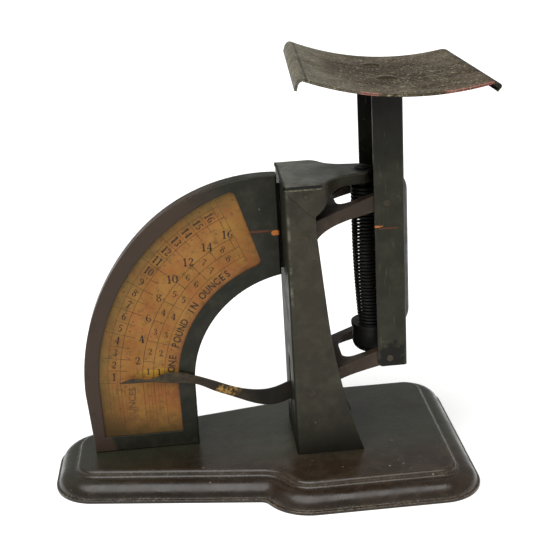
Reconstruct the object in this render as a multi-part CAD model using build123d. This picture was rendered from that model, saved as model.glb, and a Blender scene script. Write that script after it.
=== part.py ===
from build123d import *
import math
import os

os.makedirs("parts", exist_ok=True)

# Letter scale of pressed sheet steel. Millimetres, +Z up, +X along the base towards the
# platform, -X towards the dial, +Y to the rear. Everything is drawn from the middle of
# the base at table height; the finished set is then centred on the whole scale.

# --- driving dimensions -------------------------------------------------------------
BASE_LENGTH = 184.0
BASE_DEPTH = 108.8
BASE_HEIGHT = 9.8
BASE_SHEET = 1.2
MOULDING = 11.7                      # width of the moulded edge round the plateau

FULCRUM = (22.6, 39.0)               # X and Z of the lower fulcrum
LINK_REACH = 34.9                    # fulcrum to column pin, along X
LINK_RISE = 13.0                     # fulcrum to column pin, along Z
LINK_SPACING = 69.5                  # lower fulcrum to upper fulcrum

POST_LEFT = 15.4
POST_HALF_DEPTH = 20.2
POST_SHEET = 1.0
CAP_TOP = 132.2
CAP_SHEET = 0.9
POST_TOP = CAP_TOP - CAP_SHEET

COLUMN_LEFT = 52.4
COLUMN_RIGHT = 65.0
COLUMN_HALF_DEPTH = 19.0
COLUMN_SHEET = 1.0
COLUMN_BOTTOM = 48.4

PLATE_CENTRE = (58.0, -5.0, 172.2)   # middle of the letter plate's upper face
PLATE_HALF_LENGTH = 33.8
PLATE_HALF_DEPTH = 52.0
PLATE_SAG = 4.9
PLATE_SHEET = 1.0
PLATE_TILT = 5.36                    # degrees, the plate has settled down to the right
PLATE_TWIST = 0.94                   # degrees more tilt at the back, and less at the front
PLATE_TURN = -3.2                    # degrees about Z
PLATE_PITCH = -0.95                  # degrees about X, the front is the higher side

CASE_FRONT = -1.5                    # Y of the dial case's front face
CASE_DEPTH = 7.0
CASE_SHEET = 0.8

PIN_RADIUS = 1.5
RUNNING_GAP = 0.06                   # radial clearance of every pivot

SPRING_RADIUS = 5.4
SPRING_WIRE = 1.0
SPRING_TOP = (50.6, 126.1)           # X and Z of the spring's upper end
SPRING_END = (52.8, 53.8)            # X and Z of the spring's lower end

# --- places worked out from them ----------------------------------------------------
FX, FZ = FULCRUM
UPPER_FULCRUM = (FX, FZ + LINK_SPACING)
LOWER_PIN = (FX + LINK_REACH, FZ + LINK_RISE)
UPPER_PIN = (LOWER_PIN[0], LOWER_PIN[1] + LINK_SPACING)
LINK_LENGTH = math.hypot(LINK_REACH, LINK_RISE)
LINK_ANGLE = math.degrees(math.atan2(LINK_RISE, LINK_REACH))
YOKE_HALF_DEPTH = COLUMN_HALF_DEPTH - COLUMN_SHEET - 0.2
YOKE_SHEET = 1.0


def along_y(point, radius, y_low, y_high):
    """A round bar along Y through point = (x, z)."""
    bar = Cylinder(radius, y_high - y_low, rotation=(90, 0, 0))
    return Pos(point[0], (y_low + y_high) / 2, point[1]) * bar


def along_z(x, y, radius, z_low, z_high):
    """A round bar along Z."""
    return Pos(x, y, (z_low + z_high) / 2) * Cylinder(radius, z_high - z_low)


def block(x_low, x_high, y_low, y_high, z_low, z_high):
    """A box from its two corners."""
    size = (x_high - x_low, y_high - y_low, z_high - z_low)
    return Pos((x_low + x_high) / 2, (y_low + y_high) / 2, (z_low + z_high) / 2) * Box(*size)


def side_solid(outline, y_low, y_high):
    """Extrude a face drawn in XZ, as (x, z), from y_low to y_high."""
    face = Plane.XZ * outline
    return Pos(0, y_low, 0) * extrude(face, amount=y_high - y_low, dir=(0, 1, 0))


# --- base ---------------------------------------------------------------------------
def base_outline():
    """Plateau outline: a tapering tongue under the dial, then a wide end under the plate."""
    left = -BASE_LENGTH / 2 + MOULDING
    right = BASE_LENGTH / 2 - MOULDING
    half = BASE_DEPTH / 2 - MOULDING
    front = [(left, -15.8), (6.1, -29.9), (14.1, -half), (right, -half)]
    back = [(right, half), (17.5, half), (9.5, 32.2), (left, 15.8)]
    radii = [8.0, 16.0, 10.0, 6.0, 6.0, 10.0, 12.0, 8.0]
    return FilletPolyline(*front, *back, radius=radii, close=True)


def moulding_section():
    """Cross-section of the moulded edge: bead, cove, broad roll and a short skirt."""
    top = BASE_HEIGHT
    bead = TangentArc((0.0, top), (1.7, top - 1.5), tangent=(1, 0))
    cove = ThreePointArc(bead @ 1, (2.2, top - 2.3), (3.3, top - 2.6))
    roll = ThreePointArc(cove @ 1, (8.0, top - 3.9), (10.6, 1.7))
    lip = Polyline(roll @ 1, (MOULDING, 1.3), (MOULDING, 0.0), (MOULDING - 1.4, 0.0))
    inner = Polyline(lip @ 1, (MOULDING - 2.6, 1.6), (7.4, top - 5.5), (3.3, top - 3.9))
    close = Polyline(inner @ 1, (0.6, top - 2.6), (0.0, top - BASE_SHEET), (0.0, top))
    return make_face([bead, cove, roll, lip, inner, close])


def base_shell():
    """Pressed base: plateau with the moulded edge swept round it, and the slots in it."""
    path = base_outline()
    start = path @ 0
    outward = Plane(origin=start, x_dir=Vector(0, 0, 1).cross(path % 0) * -1, z_dir=-(path % 0))
    edge = sweep(outward * moulding_section(), path=path)
    plateau = extrude(make_face(path), amount=BASE_SHEET)
    shell = edge + Pos(0, 0, BASE_HEIGHT - BASE_SHEET) * plateau
    for x in FOOT_SCREWS_X:
        shell -= along_z(x, 0, FOOT_SCREW_RADIUS + 0.1, 0, BASE_HEIGHT + 1)
    for x in CASE_TABS_X:
        shell -= block(x - 4.1, x + 4.1, TAB_Y - 0.1, TAB_Y + 0.9, 5, BASE_HEIGHT + 1)
    return shell


# --- post ---------------------------------------------------------------------------
FOOT_SCREWS_X = (25.0, 34.0)
FOOT_SCREW_RADIUS = 1.5


def post_side():
    """Side view of the post: upright on the left, flaring to the foot on the right."""
    bottom = BASE_HEIGHT
    left = Polyline((45.0, bottom), (POST_LEFT, bottom), (POST_LEFT, POST_TOP), (28.0, POST_TOP))
    neck = Line(left @ 1, (28.0, 112.0))
    flank = Line(neck @ 1, (31.3, 75.4))
    flare = TangentArc(flank @ 1, (45.0, bottom), tangent=flank % 1)
    return make_face([left, neck, flank, flare])


def post_shell():
    """U-section post, open on the right, with the pointer's slot and a foot turned inwards."""
    half = POST_HALF_DEPTH
    body = side_solid(post_side(), -half, half)
    corners = body.edges().filter_by(lambda e: abs(e.center().X - POST_LEFT) < 0.1 and e.length > 100)
    body = fillet(corners, 1.8)
    inner = half - POST_SHEET
    web = POST_LEFT + POST_SHEET
    hollow = block(web, 60, -inner, inner, BASE_HEIGHT + POST_SHEET, POST_TOP + 1)
    body -= hollow
    body -= block(38.0, 60, -inner, inner, 0, BASE_HEIGHT + 2)
    body -= block(10, web + 1, -5.2, 0.0, 24.5, 50.5)
    body -= block(10, web + 1, TAB_Y - 0.1, TAB_Y + 0.9, SIDE_TAB_Z[0] - 0.1, SIDE_TAB_Z[1] + 0.1)
    for fulcrum in (FULCRUM, UPPER_FULCRUM):
        body -= along_y(fulcrum, PIN_RADIUS, -30, 30)
    body -= along_y(CAP_RIVET, 1.2, -30, 30)
    for x in FOOT_SCREWS_X:
        body -= along_z(x, 0, FOOT_SCREW_RADIUS + 0.1, 0, BASE_HEIGHT + 5)
    return body


def post_foot_screws():
    """Two round-headed screws that hold the post's foot to the base."""
    head_low = BASE_HEIGHT + POST_SHEET
    screws = []
    for x in FOOT_SCREWS_X:
        head = Pos(x, 0, head_low) * Cylinder(2.6, 1.5, align=(Align.CENTER, Align.CENTER, Align.MIN))
        head = fillet(head.edges().group_by(Axis.Z)[-1], 0.8)
        head -= block(x - 3, x + 3, -0.3, 0.3, head_low + 0.9, head_low + 2)
        screws.append(head + along_z(x, 0, FOOT_SCREW_RADIUS, 4.0, head_low + 0.2))
    return screws


def post_foot_nuts():
    """The screws' hexagon nuts, under the plateau."""
    top = BASE_HEIGHT - BASE_SHEET
    nuts = []
    for x in FOOT_SCREWS_X:
        nut = Pos(x, 0, top - 2.2) * extrude(RegularPolygon(2.9, 6), amount=2.2)
        nuts.append(nut - along_z(x, 0, FOOT_SCREW_RADIUS, 0, top + 1))
    return nuts


# --- cap and arm --------------------------------------------------------------------
CAP_RIVET = (24.2, 127.2)
ARM_TIP = 55.4
ARM_BOTTOM = 127.6


def cap_plan(inset):
    """Plan of the cap: as wide as the post, then narrowing to the arm over the spring."""
    wide = POST_HALF_DEPTH + CAP_SHEET - inset
    narrow = 8.6 - inset
    tip = ARM_TIP - inset
    start = Line((15.2, -wide), (28.5, -wide))
    neck = Spline(start @ 1, (36.0, -14.6 + inset), (44.5, -9.6 + inset), tangents=[(1, 0), (1, 0.22)])
    side = Line(neck @ 1, (tip - 5.0, -narrow))
    nose = ThreePointArc(side @ 1, (tip, 0), (tip - 5.0, narrow))
    back = [mirror(line, Plane.XZ) for line in (side, neck, start)]
    end = Line((15.2, wide), (15.2, -wide))
    return make_face([start, neck, side, nose, *back, end])


def cap_keep():
    """Side view of what the cap keeps: a triangle over the post and a shallow skirt round the arm."""
    return make_face(Polyline(
        (15.2, POST_TOP - 0.8), (26.4, 118.8), (28.0, 118.6), (31.3, 121.4), (35.0, 126.0), (38.0, 127.2),
        (42.6, ARM_BOTTOM), (60.0, ARM_BOTTOM), (60.0, CAP_TOP + 1), (15.2, CAP_TOP + 1), close=True))


def post_cap_arm():
    """Folded cap that closes the post and reaches over to carry the spring."""
    low = 118.0
    solid = Pos(0, 0, low) * extrude(cap_plan(0), amount=CAP_TOP - low)
    rim = [e for e in solid.edges().group_by(Axis.Z)[-1] if e.center().X > 15.3]
    solid = fillet(rim, 0.8)
    solid -= Pos(0, 0, low - 1) * extrude(cap_plan(CAP_SHEET), amount=CAP_TOP - CAP_SHEET - low + 1)
    solid -= block(14, 15.3, -POST_HALF_DEPTH, POST_HALF_DEPTH, low - 1, POST_TOP)
    solid &= side_solid(cap_keep(), -40, 40)
    solid -= along_y(CAP_RIVET, 1.2, -30, 30)
    return solid - along_z(SPRING_TOP[0], 0, ZERO_SCREW_RADIUS + 0.15, 120, 140)


def cap_rivets():
    """Two flush rivets through the cap's triangles and the post."""
    outer = POST_HALF_DEPTH + CAP_SHEET
    inner = POST_HALF_DEPTH - POST_SHEET
    rivets = []
    for side in (-1, 1):
        y_low, y_high = sorted((side * (inner - 0.5), side * (outer + 0.25)))
        rivets.append(along_y(CAP_RIVET, 1.2, y_low, y_high))
    return rivets


# --- dial case ----------------------------------------------------------------------
CASE_LEFT = -75.7
CASE_RIGHT = 14.2
CASE_BIG_RADIUS = 99.4
CASE_TOP = 132.2
CASE_INNER_RADIUS = 49.6
WINDOW_OUTER = 91.9
WINDOW_INNER = 56.9
WINDOW_END = 73.0
WINDOW_BOTTOM = 17.0
CASE_TABS_X = (-60.0, -42.0)
SIDE_TAB_Z = (119.0, 127.0)
SIDE_FIN = (15.35, 89.0)             # X reach and lower end of the fin that closes the gap to the post
TAB_Y = 4.5


def polar(radius, degrees, centre=FULCRUM):
    """Point at a dial angle, counted up from the -X direction."""
    angle = math.radians(degrees)
    return (centre[0] - radius * math.cos(angle), centre[1] + radius * math.sin(angle))


def case_outline(inset=0.0):
    """Case face: straight legs below the fulcrum's level, then two arcs outside and one inside."""
    big = CASE_BIG_RADIUS
    centre = (CASE_LEFT + big, FZ)
    top_x = 8.7
    drop = CASE_TOP - centre[1]
    small = (big ** 2 - drop ** 2 - (centre[0] - top_x) ** 2) / (2 * (big - drop))
    small_centre = (top_x, CASE_TOP - small)
    towards = math.atan2(small_centre[1] - centre[1], small_centre[0] - centre[0])
    big -= inset
    small -= inset
    inner = CASE_INNER_RADIUS + inset
    right = CASE_RIGHT - inset
    left_low = (-74.1 + inset, BASE_HEIGHT + inset)
    middle = (math.pi + towards) / 2

    leg = Line(left_low, (centre[0] - big, centre[1]))
    joint = (centre[0] + big * math.cos(towards), centre[1] + big * math.sin(towards))
    side_mid = (centre[0] + big * math.cos(middle), centre[1] + big * math.sin(middle))
    side = ThreePointArc(leg @ 1, side_mid, joint)
    crown_end = (right, small_centre[1] + math.sqrt(small ** 2 - (right - top_x) ** 2))
    crown_mid_angle = math.radians(115)
    crown_mid = (top_x + small * math.cos(crown_mid_angle), small_centre[1] + small * math.sin(crown_mid_angle))
    crown = ThreePointArc(side @ 1, crown_mid, crown_end)
    inner_end = (right, FZ + math.sqrt(inner ** 2 - (FX - right) ** 2))
    end = Line(crown @ 1, inner_end)
    hollow = ThreePointArc(end @ 1, polar(inner, 40), polar(inner, 0))
    inner_low = (-27.4 - inset, BASE_HEIGHT + inset)
    return make_face([leg, side, crown, end, hollow, Line(hollow @ 1, inner_low), Line(inner_low, left_low)])


def window_outline(grow=0.0):
    """Arched window, concentric with the fulcrum, with legs like the case's."""
    outer = WINDOW_OUTER + grow
    inner = WINDOW_INNER - grow
    bottom = WINDOW_BOTTOM - grow
    top = WINDOW_END + math.degrees(grow / 75.0)
    outside = ThreePointArc(polar(outer, 0), polar(outer, top / 2), polar(outer, top))
    end = Line(outside @ 1, polar(inner, top))
    inside = ThreePointArc(end @ 1, polar(inner, top / 2), polar(inner, 0))
    legs = Polyline(inside @ 1, (FX - inner, bottom), (FX - outer, bottom), polar(outer, 0))
    face = make_face([outside, end, inside, legs])
    return fillet(face.vertices().filter_by(lambda v: v.Y > 60), 2.5 + grow)


def dial_bezel():
    """Front pan of the dial case, with the window, and tabs folded over the back cover."""
    back = CASE_FRONT + CASE_DEPTH
    pan = side_solid(case_outline(), CASE_FRONT, back)
    front_rim = pan.edges().filter_by(lambda e: abs(e.center().Y - CASE_FRONT) < 0.01)
    pan = fillet(front_rim, 0.7)
    pan -= side_solid(case_outline(CASE_SHEET), CASE_FRONT + CASE_SHEET, back + 1)
    window = side_solid(window_outline(), CASE_FRONT - 1, CASE_FRONT + CASE_SHEET + 1)
    pan -= window
    for angle in (12, 42):
        for radius, width in ((96.2, 4.0), (51.4, 4.0)):
            x, z = polar(radius, angle)
            tab = Pos(x, back + CASE_SHEET / 2, z) * Rot(0, angle, 0) * Box(width, CASE_SHEET, 7)
            pan += tab
    return pan


def dial_card():
    """Printed card behind the window."""
    y = CASE_FRONT + CASE_SHEET
    return side_solid(window_outline(2.0), y, y + 0.3)


def card_backer():
    """Stiff sheet that presses the card against the window."""
    y = CASE_FRONT + CASE_SHEET + 0.3
    return side_solid(window_outline(2.4), y, y + 0.6)


def dial_back_cover():
    """Back of the case, with feet through the base, a fin up to the post and a tab through it."""
    back = CASE_FRONT + CASE_DEPTH
    cover = side_solid(case_outline(CASE_SHEET + 0.05), TAB_Y, back - 0.2)
    for x in CASE_TABS_X:
        foot = block(x - 4, x + 4, TAB_Y, TAB_Y + CASE_SHEET, BASE_HEIGHT - 2.6, BASE_HEIGHT + 3)
        hook = block(x - 4, x + 4, TAB_Y, TAB_Y + 4, BASE_HEIGHT - 2.6, BASE_HEIGHT - BASE_SHEET - 0.1)
        cover += foot + hook
    cover += block(CASE_RIGHT - 2.0, SIDE_FIN[0], TAB_Y, TAB_Y + CASE_SHEET, SIDE_FIN[1], SIDE_TAB_Z[1])
    return cover + block(CASE_RIGHT - 2.0, 19.5, TAB_Y, TAB_Y + CASE_SHEET, *SIDE_TAB_Z)


def case_with_passages(bezel):
    """The bezel, notched where the back cover's feet, fin and tab leave the case."""
    for x in CASE_TABS_X:
        bezel -= block(x - 4.1, x + 4.1, TAB_Y - 0.1, TAB_Y + 0.9, 5, BASE_HEIGHT + 2)
    return bezel - block(CASE_RIGHT - 2, 30, TAB_Y - 0.1, TAB_Y + 0.9, SIDE_FIN[1] - 0.1, SIDE_TAB_Z[1] + 0.1)


# --- parallel links -----------------------------------------------------------------
YOKE_TOP = 4.7
YOKE_WEB_END = 18.5


def link_place(fulcrum):
    """Frame of a link: u from fulcrum to column pin, v square to it and upwards."""
    return Pos(fulcrum[0], 0, fulcrum[1]) * Rot(0, -LINK_ANGLE, 0)


def yoke_side():
    """Side view of a yoke arm in its own frame, deepest at the fulcrum."""
    top = Polyline((-4.2, 2.3), (-2.6, YOKE_TOP), (LINK_LENGTH - 4.5, YOKE_TOP))
    nose = Spline(top @ 1, (LINK_LENGTH + 3.0, 0.0), (LINK_LENGTH, -3.0),
                  tangents=[(1, -0.15), (-1, 0)])
    under = Spline(nose @ 1, (29.0, -1.5), (17.0, -0.4), (6.0, -2.4), (0.0, -4.8),
                   tangents=[(-1, 0.3), (-1, 0)])
    heel = ThreePointArc(under @ 1, (-4.3, -2.2), (-4.2, 2.3))
    return make_face([top, nose, under, heel])


def yoke_notch():
    """The opening between the arms, seen from above, in the link's frame."""
    notch = make_face(Polyline(
        (YOKE_WEB_END, -11.0), (31.3, -13.4), (60.0, -14.2), (60.0, 14.2), (31.3, 13.4), (YOKE_WEB_END, 11.0),
        close=True))
    return fillet(notch.vertices().filter_by(lambda v: v.X < YOKE_WEB_END + 1), 7.0)


def yoke(pin_gap):
    """Inverted-U link: two arms joined by a web beside the post."""
    half = YOKE_HALF_DEPTH
    solid = side_solid(yoke_side(), -half, half)
    hollow = block(-20, 70, -half + YOKE_SHEET, half - YOKE_SHEET, -20, YOKE_TOP - YOKE_SHEET)
    solid -= hollow
    solid -= extrude(yoke_notch(), amount=20)
    solid -= along_y((0, 0), PIN_RADIUS + RUNNING_GAP, -30, 30)
    solid -= along_y((LINK_LENGTH, 0), PIN_RADIUS + pin_gap, -30, 30)
    return solid


def lower_yoke():
    """Lower link, which also carries the pointer, with the pointer's rivet holes."""
    solid = yoke(RUNNING_GAP)
    for u in POINTER_RIVETS_U:
        solid -= along_z(u, POINTER_RIVET_Y, 0.9, 0, 10)
    return link_place(FULCRUM) * solid


def upper_yoke():
    """Upper link. Its column pin is the loop's open pivot."""
    return link_place(UPPER_FULCRUM) * yoke(RUNNING_GAP + 0.06)


def fulcrum_rod(point):
    """Rod through both sides of the post, with headed ends."""
    half = POST_HALF_DEPTH
    rod = along_y(point, PIN_RADIUS, -half - 0.1, half + 0.1)
    for side in (-1, 1):
        y_low, y_high = sorted((side * half, side * (half + 0.15)))
        rod += along_y(point, PIN_RADIUS + 0.5, y_low, y_high)
    return rod


def column_pins(point):
    """Two short rivets, one through each side of the column, that the link turns on."""
    outer = COLUMN_HALF_DEPTH
    inner = YOKE_HALF_DEPTH - YOKE_SHEET
    pins = []
    for side in (-1, 1):
        y_low, y_high = sorted((side * (inner - 0.9), side * (outer + 0.1)))
        pin = along_y(point, PIN_RADIUS, y_low, y_high)
        y_low, y_high = sorted((side * (inner - 0.9), side * (inner - 0.15)))
        pins.append(pin + along_y(point, PIN_RADIUS + 0.8, y_low, y_high))
    return pins


# --- pointer ------------------------------------------------------------------------
POINTER_Y = -3.2
POINTER_SHEET = 0.8
POINTER_RIVETS_U = (4.5, 11.0)
POINTER_RIVET_Y = 0.8
POINTER_TIP = (-59.8, 43.6)


def pointer_blade():
    """Front view of the pointer: hub on the fulcrum rod, a dip, a rise, then a pinched, twisted end."""
    upper = Spline((17.5, 38.6), (10.3, 36.1), (4.5, 34.8), (-1.5, 35.1), (-7.6, 36.5), (-18.0, 40.8),
                   (-26.5, 44.3), (-31.5, 46.1), (-38.0, 46.8), tangents=[(-1, -0.2), (-1, 0)])
    pinch = Spline(upper @ 1, (-43.4, 45.2), (-48.0, 44.3), (-53.6, 45.3), POINTER_TIP,
                   tangents=[(-1, 0), (-1, -0.4)])
    under = Spline(pinch @ 1, (-53.3, 43.3), (-46.0, 43.1), (-38.6, 42.0), (-26.5, 40.3),
                   tangents=[(1, -0.05), (1, -0.35)])
    lower = Spline(under @ 1, (-19.1, 36.5), (-12.2, 33.4), (-5.2, 30.2), (1.0, 27.9), (6.2, 27.2),
                   (11.0, 27.9), (17.0, 30.0), tangents=[(1, -0.35), (1, 0.3)])
    root = Polyline(lower @ 1, (25.0, 32.0), (29.0, 37.0), POINTER_EAR_RIGHT, POINTER_EAR_LEFT,
                    (18.6, 40.6), upper @ 0)
    return make_face([upper, pinch, under, lower, root])


def link_point(u, v):
    """A point of the lower link's frame, as (x, z)."""
    angle = math.radians(LINK_ANGLE)
    return (FX + u * math.cos(angle) - v * math.sin(angle), FZ + u * math.sin(angle) + v * math.cos(angle))


POINTER_EAR_TOP = YOKE_TOP - YOKE_SHEET
POINTER_EAR_RIGHT = link_point(13.5, POINTER_EAR_TOP)
POINTER_EAR_LEFT = link_point(2.0, POINTER_EAR_TOP)


def pointer():
    """Pointer blade with an ear folded flat under the link's web."""
    blade = side_solid(pointer_blade(), POINTER_Y, POINTER_Y + POINTER_SHEET)
    blade -= along_y(FULCRUM, PIN_RADIUS + RUNNING_GAP + 0.1, -10, 10)
    ear = block(2.0, 13.5, POINTER_Y, POINTER_RIVET_Y + 2.2, POINTER_EAR_TOP - POINTER_SHEET, POINTER_EAR_TOP)
    for u in POINTER_RIVETS_U:
        ear -= along_z(u, POINTER_RIVET_Y, 0.9, 0, 10)
    ear -= along_y((0, 0), PIN_RADIUS + 0.4, -10, 10)
    return blade + link_place(FULCRUM) * ear


def pointer_rivets():
    """Two small rivets that hold the pointer's ear to the web."""
    low = POINTER_EAR_TOP - POINTER_SHEET
    rivets = []
    for u in POINTER_RIVETS_U:
        rivet = along_z(u, POINTER_RIVET_Y, 0.9, low - 0.4, YOKE_TOP + 0.2)
        rivet += along_z(u, POINTER_RIVET_Y, 1.5, YOKE_TOP, YOKE_TOP + 0.5)
        rivets.append(link_place(FULCRUM) * rivet)
    return rivets


# --- column -------------------------------------------------------------------------
RELIEF_RADIUS = 9.2
RELIEF_X = 60.4
RELIEF_Z = (68.0, 122.0)
CUP_X = 53.1
CUP_RADIUS = 8.8
CUP_BOTTOM = COLUMN_BOTTOM + COLUMN_SHEET
CUP_TOP = 62.6
CUP_STUD = 2.0
TAB_X = (54.6, 62.8)


def relief(radius):
    """Upright capsule that the column's web is pressed out by, to clear the spring."""
    low, high = RELIEF_Z
    capsule = along_z(RELIEF_X, 0, radius, low, high)
    for z in RELIEF_Z:
        capsule += Pos(RELIEF_X, 0, z) * Sphere(radius)
    return capsule


def plate_height(x, y):
    """Z of the plate's upper face near its middle."""
    along = (x - PLATE_CENTRE[0]) * math.tan(math.radians(PLATE_TILT))
    across = (y - PLATE_CENTRE[1]) * math.tan(math.radians(PLATE_PITCH))
    return PLATE_CENTRE[2] - along + across


def plate_solid(outline):
    """An outline in X and Z carried from the plate's front to its back, twisting on the way."""
    ends = []
    for side in (-1, 1):
        tilt = Rot(0, PLATE_TILT + side * PLATE_TWIST, 0)
        ends.append(Pos(0, side * PLATE_HALF_DEPTH, 0) * tilt * Rot(90, 0, 0) * outline)
    return Pos(*PLATE_CENTRE) * Rot(0, 0, PLATE_TURN) * Rot(PLATE_PITCH, 0, 0) * loft(ends, ruled=True)


def plate_arc(depth):
    """Curve of the plate at a depth below its upper face."""
    radius = (PLATE_HALF_LENGTH ** 2 + PLATE_SAG ** 2) / (2 * PLATE_SAG)
    angle = math.asin(PLATE_HALF_LENGTH / radius)
    radius += depth
    centre_z = radius - depth
    end = (radius * math.sin(angle), centre_z - radius * math.cos(angle))
    return ThreePointArc((-end[0], end[1]), (0, -depth), end)


def column_tab(side, gap):
    """Tongue of the column's side that passes through the plate."""
    x_low, x_high = TAB_X
    outer = COLUMN_HALF_DEPTH
    y_low, y_high = sorted((side * (outer - COLUMN_SHEET), side * outer))
    top = plate_height((x_low + x_high) / 2, side * outer) - 0.3
    return block(x_low - gap, x_high + gap, y_low - gap, y_high + gap, top - 7, top)


def tab_head(side):
    """The tongue's upset end, a low lens on the plate."""
    x_mid = (TAB_X[0] + TAB_X[1]) / 2
    y_mid = side * (COLUMN_HALF_DEPTH - COLUMN_SHEET / 2)
    arc = ThreePointArc((-5.0, 0), (0, 1.0), (5.0, 0))
    lens = make_face([arc, Polyline(arc @ 1, (5.0, -0.5), (-5.0, -0.5), arc @ 0)])
    lens = side_solid(lens, -1.2, 1.2)
    return Pos(x_mid, y_mid, plate_height(x_mid, y_mid) + 0.1) * Rot(0, PLATE_TILT, 0) * lens


def column_channel():
    """Moving column: U-section open to the left, spring relief, shelf and plate tongues."""
    half = COLUMN_HALF_DEPTH
    sheet = COLUMN_SHEET
    column = block(COLUMN_LEFT, COLUMN_RIGHT, -half, half, COLUMN_BOTTOM, 180)
    column = fillet(column.edges().filter_by(Axis.Z).group_by(Axis.X)[-1], 1.4)
    lower_corners = column.edges().filter_by(Axis.Y).group_by(Axis.Z)[0].sort_by(Axis.X)
    column = fillet(lower_corners[0], 2.0)
    relief_skin = relief(RELIEF_RADIUS) & block(COLUMN_RIGHT - 0.5, 80, -20, 20, 40, 160)
    column += relief_skin
    column -= block(COLUMN_LEFT - 1, COLUMN_RIGHT - sheet, -half + sheet, half - sheet,
                    COLUMN_BOTTOM + sheet, 200)
    column -= relief(RELIEF_RADIUS - sheet)
    column -= block(40, COLUMN_LEFT + 8, -half + sheet, half - sheet, 0, COLUMN_BOTTOM + 2)
    shelf = block(CUP_X - 3.5, COLUMN_RIGHT - 1, -12, 12, COLUMN_BOTTOM, COLUMN_BOTTOM + sheet)
    shelf = fillet(shelf.edges().filter_by(Axis.Z).group_by(Axis.X)[0], 3.0)
    column += shelf
    for point in (LOWER_PIN, UPPER_PIN):
        column -= along_y(point, PIN_RADIUS, -30, 30)
    column -= along_z(CUP_X, 0, CUP_STUD, 40, 51)
    under = plate_arc(PLATE_SHEET)
    above = make_face([under, Polyline(under @ 1, (60, 40), (-60, 40), under @ 0)])
    column -= plate_solid(above)
    for side in (-1, 1):
        column += column_tab(side, 0) + tab_head(side)
    return column


def lower_spring_cup():
    """Round-bottomed cup on the column's shelf that holds the spring's lower end."""
    cup = along_z(CUP_X, 0, CUP_RADIUS, CUP_BOTTOM, CUP_TOP)
    cup = fillet(cup.edges().group_by(Axis.Z)[0], 4.6)
    cup += along_z(CUP_X, 0, CUP_RADIUS + 0.35, CUP_TOP - 1.4, CUP_TOP)
    cup -= along_z(CUP_X, 0, SPRING_RADIUS + 0.7, CUP_BOTTOM + 4.0, CUP_TOP + 1)
    return cup + along_z(CUP_X, 0, CUP_STUD, COLUMN_BOTTOM, CUP_BOTTOM + 2)


# --- letter plate -------------------------------------------------------------------
LEFT_LIP = (2.6, 3.2, 4.3)           # reach of the shoulder, reach of the edge, drop
RIGHT_LIP = (4.2, 2.9, 3.5)


def lip_profile(sign, shoulder, reach, drop):
    """One turned-down end of the plate, a sheet that bends on from the plate's own curve."""
    arc = plate_arc(0)
    start = arc @ (1 if sign > 0 else 0)
    run = (arc % (1 if sign > 0 else 0)) * sign
    outside = Spline(
        (start.X, start.Y), (start.X + sign * shoulder, start.Y - 0.4 * drop),
        (start.X + sign * reach, start.Y - drop),
        tangents=[(run.X, run.Y), (sign * (reach - shoulder), -0.6 * drop)])
    inner_points = []
    for t in (1, 0.75, 0.5, 0):
        point = outside @ t
        heading = outside % t
        inner_points.append((point.X + sign * PLATE_SHEET * heading.Y, point.Y - sign * PLATE_SHEET * heading.X))
    inside = Spline(*inner_points)
    return make_face([outside, Line(outside @ 1, inside @ 0), inside, Line(inside @ 1, outside @ 0)])


def platform():
    """Letter plate: dished from end to end, with both ends turned down and two tongue slots."""
    upper = plate_arc(0)
    lower = plate_arc(PLATE_SHEET)
    sheet = make_face([upper, Line(upper @ 1, lower @ 1), lower, Line(lower @ 0, upper @ 0)])
    plate = plate_solid(sheet)
    for sign, lip in ((-1, LEFT_LIP), (1, RIGHT_LIP)):
        plate += plate_solid(lip_profile(sign, *lip))
    for side in (-1, 1):
        plate -= column_tab(side, 0.05)
        plate -= tab_head(side)
    return plate


# --- spring and zero adjustment -----------------------------------------------------
ZERO_SCREW_RADIUS = 1.6
ZERO_SCREW_LOW = 119.0
ZERO_HEAD = 0.4
COLLAR_RADIUS = 3.6
COLLAR_HIGH = CAP_TOP - CAP_SHEET - 0.2
COLLAR_LOW = COLLAR_HIGH - 2.7
PLUG_TOP = 127.2


def main_spring():
    """Extension spring, as the tube that its coils fill."""
    run = Vector(SPRING_END[0] - SPRING_TOP[0], 0, SPRING_END[1] - SPRING_TOP[1])
    place = Plane(origin=(SPRING_TOP[0], 0, SPRING_TOP[1]), z_dir=run)
    ring = Circle(SPRING_RADIUS) - Circle(SPRING_RADIUS - SPRING_WIRE)
    return extrude(place * ring, amount=run.length)


def upper_spring_plug():
    """Flanged plug that the top coils are hooked on, threaded on the zero screw."""
    x = SPRING_TOP[0]
    plug = along_z(x, 0, SPRING_RADIUS - SPRING_WIRE - 0.35, ZERO_SCREW_LOW + 0.5, PLUG_TOP)
    plug += along_z(x, 0, SPRING_RADIUS - 0.1, PLUG_TOP - 0.8, PLUG_TOP)
    return plug - along_z(x, 0, ZERO_SCREW_RADIUS + 0.03, ZERO_SCREW_LOW - 1, CAP_TOP)


def zero_adjust_screw():
    """Screw with a low slotted head on the arm; the plug and the spring hang from it."""
    x = SPRING_TOP[0]
    top = CAP_TOP + ZERO_HEAD
    screw = along_z(x, 0, ZERO_SCREW_RADIUS, ZERO_SCREW_LOW, CAP_TOP)
    screw += along_z(x, 0, ZERO_SCREW_RADIUS + 1.4, CAP_TOP, top)
    return screw - block(x - 4, x + 4, -0.3, 0.3, top - 0.25, top + 1)


def zero_screw_collar():
    """Collar pinned on the screw under the arm, so that the screw turns but can't lift."""
    x = SPRING_TOP[0]
    collar = along_z(x, 0, COLLAR_RADIUS, COLLAR_LOW, COLLAR_HIGH)
    collar = chamfer(collar.edges().filter_by(GeomType.CIRCLE), 0.35)
    return collar - along_z(x, 0, ZERO_SCREW_RADIUS, ZERO_SCREW_LOW, CAP_TOP)


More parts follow.
